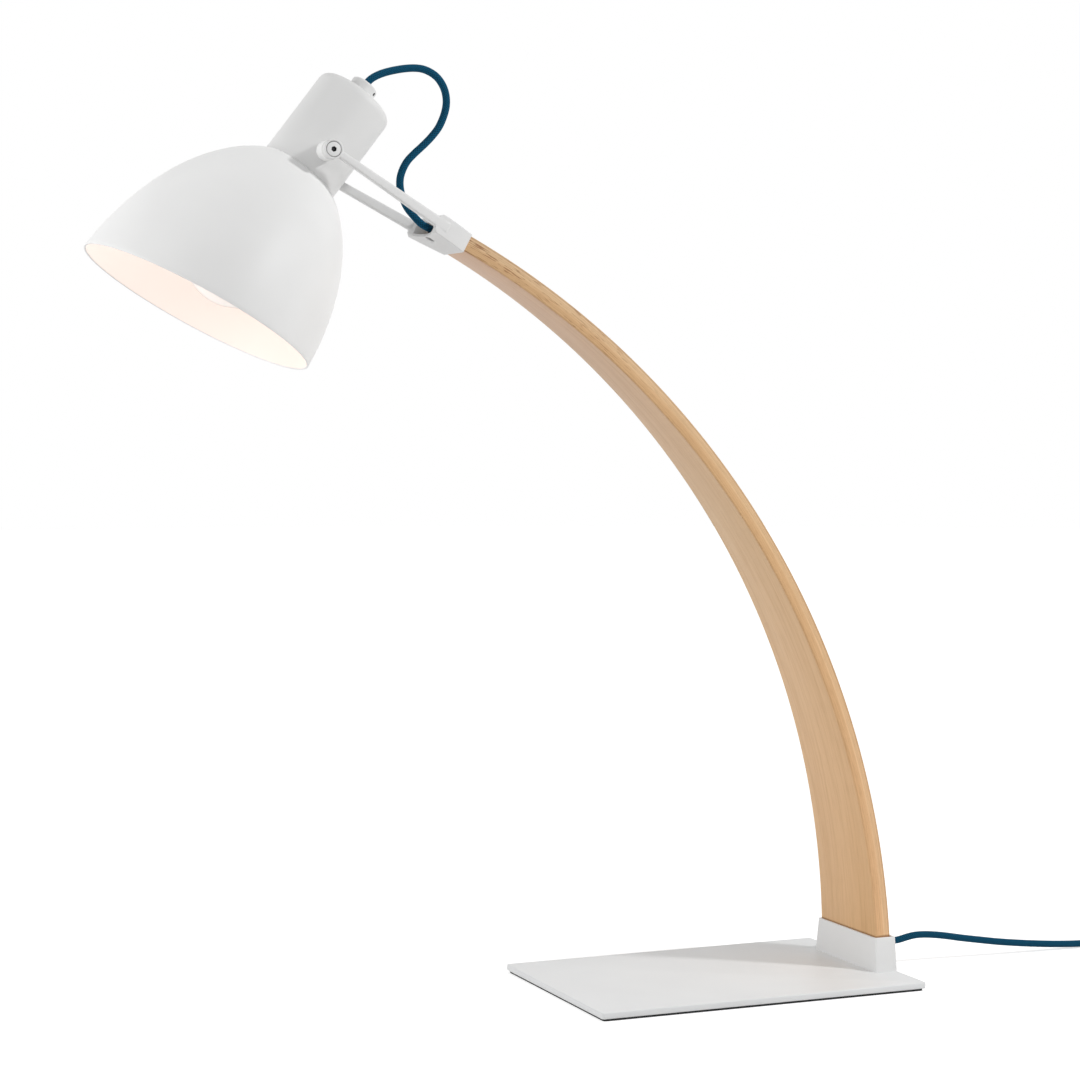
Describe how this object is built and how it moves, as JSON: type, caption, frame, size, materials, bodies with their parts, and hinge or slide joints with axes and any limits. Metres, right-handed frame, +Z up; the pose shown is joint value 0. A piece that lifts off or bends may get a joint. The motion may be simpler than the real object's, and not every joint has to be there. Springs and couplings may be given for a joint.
{
  "type": "table lamp",
  "caption": "Table lamp with a flat base plate, a bent tapering wooden arm and a dome shade that tilts in a forked bracket, with a textile cord.",
  "frame": {"origin": "on the table, under the middle of the base plate", "axes": "+Z up, +X from the base's middle to the arm socket and the mains lead, -X to the shade"},
  "size_m": [0.7281, 0.251, 0.5663],
  "materials": {
    "white_steel": "satin powder coat",
    "white_alloy": "satin powder coat",
    "wood": "satin clear lacquer",
    "pad": "matte",
    "screw_steel": "zinc plated",
    "brass": "plain",
    "blue_cord": "braided textile over flexible lead",
    "white_plastic": "fine matte",
    "grey_plastic": "fine matte",
    "black_plastic": "fine matte",
    "soft_black": "matte",
    "bulb_glass": "frosted, lit"
  },
  "bodies": {
    "stand": {"base_pad": "pad", "base_plate": "white_steel", "arm_socket": "white_alloy", "socket_screws": "screw_steel", "wooden_arm": "wood", "arm_cord": "blue_cord", "strain_relief": "soft_black", "fork_bracket": "white_alloy", "cord_clamp_screw": "screw_steel", "head_cord": "blue_cord", "mains_cord": "blue_cord", "switch_lower": "white_plastic", "switch_upper": "white_plastic", "switch_contacts": "brass", "switch_screws": "screw_steel", "switch_cord": "blue_cord", "cord_coil": "blue_cord", "coil_ties": "black_plastic", "plug_cord": "blue_cord", "plug_body": "black_plastic", "plug_pins": "screw_steel"},
    "head": {"neck_cup": "white_alloy", "pivot_bosses": "white_alloy", "friction_washers": "white_plastic", "pivot_screws": "white_steel", "shade": "white_alloy", "shade_ring": "white_plastic", "lampholder_body": "white_plastic", "lampholder_shell": "brass", "lampholder_contact": "brass", "holder_nipple": "screw_steel", "nipple_nut": "screw_steel", "cord_gland": "white_plastic", "gland_set_screw": "screw_steel", "holder_lead": "blue_cord", "bulb_glass": "bulb_glass", "bulb_cap": "screw_steel", "bulb_contact": "grey_plastic"},
    "rocker": {"switch_rocker": "grey_plastic"}
  },
  "joints": [
    {"name": "head_tilt", "type": "hinge", "parent": "stand", "child": "head", "pos_m": [-0.26254, 0, 0.51097], "axis": [0, 1, 0], "range_deg": [-38, 40], "deforming": ["head_cord"]},
    {"name": "rocker_tip", "type": "hinge", "parent": "stand", "child": "rocker", "pos_m": [0.32, -0.067, 0.0106], "axis": [1, 0, 0], "range_deg": [0, 14]}
  ]
}
